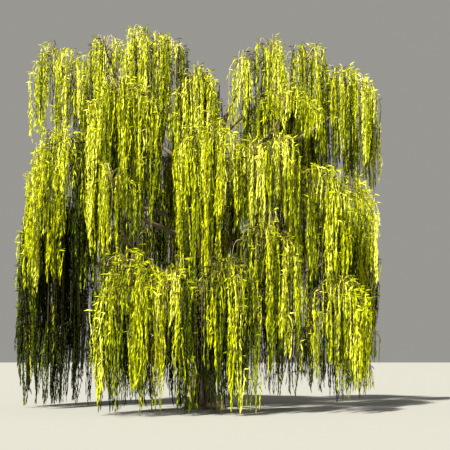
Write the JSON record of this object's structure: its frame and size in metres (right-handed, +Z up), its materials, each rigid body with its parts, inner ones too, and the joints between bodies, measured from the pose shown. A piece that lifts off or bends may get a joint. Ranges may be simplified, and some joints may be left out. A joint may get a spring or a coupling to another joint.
{
  "type": "weeping willow tree",
  "caption": "Mature weeping willow: short forked trunk with a root flare, spreading boughs and long curtains of hanging foliage.",
  "frame": {"origin": "centre of the flat cut under the trunk, at ground level", "axes": "+Z up along the trunk, -Y towards the side that the picture shows, +X to that view's right"},
  "size_m": [13.8034, 11.1224, 13.8241],
  "materials": {
    "bark": "rough, furrowed grey-brown bark",
    "foliage": "satin yellow-green leaves on straw-yellow twigs"
  },
  "bodies": {
    "root": {"trunk": "bark", "bough_crown_left_top": "bark", "bough_crown_right_top": "bark", "bough_crown_left_outer": "bark", "bough_crown_left_inner": "bark", "bough_crown_left_shoulder": "bark", "bough_crown_right_second": "bark", "bough_crown_right_outer": "bark", "bough_crown_right_front": "bark", "bough_left_mid_front": "bark", "bough_left_mid_outer": "bark", "bough_left_low_front": "bark", "bough_centre_mid": "bark", "bough_mid_centre": "bark", "bough_mid_right_big": "bark", "bough_mid_right_outer": "bark", "bough_low_right_inner": "bark", "bough_low_right_outer": "bark", "bough_front_low_left": "bark", "bough_front_low_right": "bark", "bough_left_low_outer": "bark", "bough_back_low_left": "bark", "bough_back_low_mid": "bark", "bough_back_low_right": "bark", "bough_right_low_outer": "bark", "bough_back_mid_centre": "bark", "bough_back_high_left": "bark", "bough_back_high_right": "bark", "foliage_crown_left_top": "foliage", "foliage_crown_right_top": "foliage", "foliage_crown_left_outer": "foliage", "foliage_crown_left_inner": "foliage", "foliage_crown_left_right": "foliage", "foliage_crown_left_shoulder": "foliage", "foliage_crown_right_inner": "foliage", "foliage_crown_right_second": "foliage", "foliage_crown_right_outer": "foliage", "foliage_crown_right_edge": "foliage", "foliage_crown_right_front": "foliage", "foliage_left_mid_front": "foliage", "foliage_left_mid_outer": "foliage", "foliage_left_low_front": "foliage", "foliage_centre_mid": "foliage", "foliage_mid_centre": "foliage", "foliage_mid_right_top": "foliage", "foliage_mid_right_big": "foliage", "foliage_mid_right_outer": "foliage", "foliage_low_right_inner": "foliage", "foliage_low_right_outer": "foliage", "foliage_front_low_left": "foliage", "foliage_front_low_mid": "foliage", "foliage_front_low_right": "foliage", "foliage_left_low_outer": "foliage", "foliage_back_low_left": "foliage", "foliage_back_low_mid": "foliage", "foliage_back_low_right": "foliage", "foliage_right_low_outer": "foliage", "foliage_back_mid_centre": "foliage", "foliage_back_high_left": "foliage", "foliage_back_high_right": "foliage"}
  },
  "joints": []
}
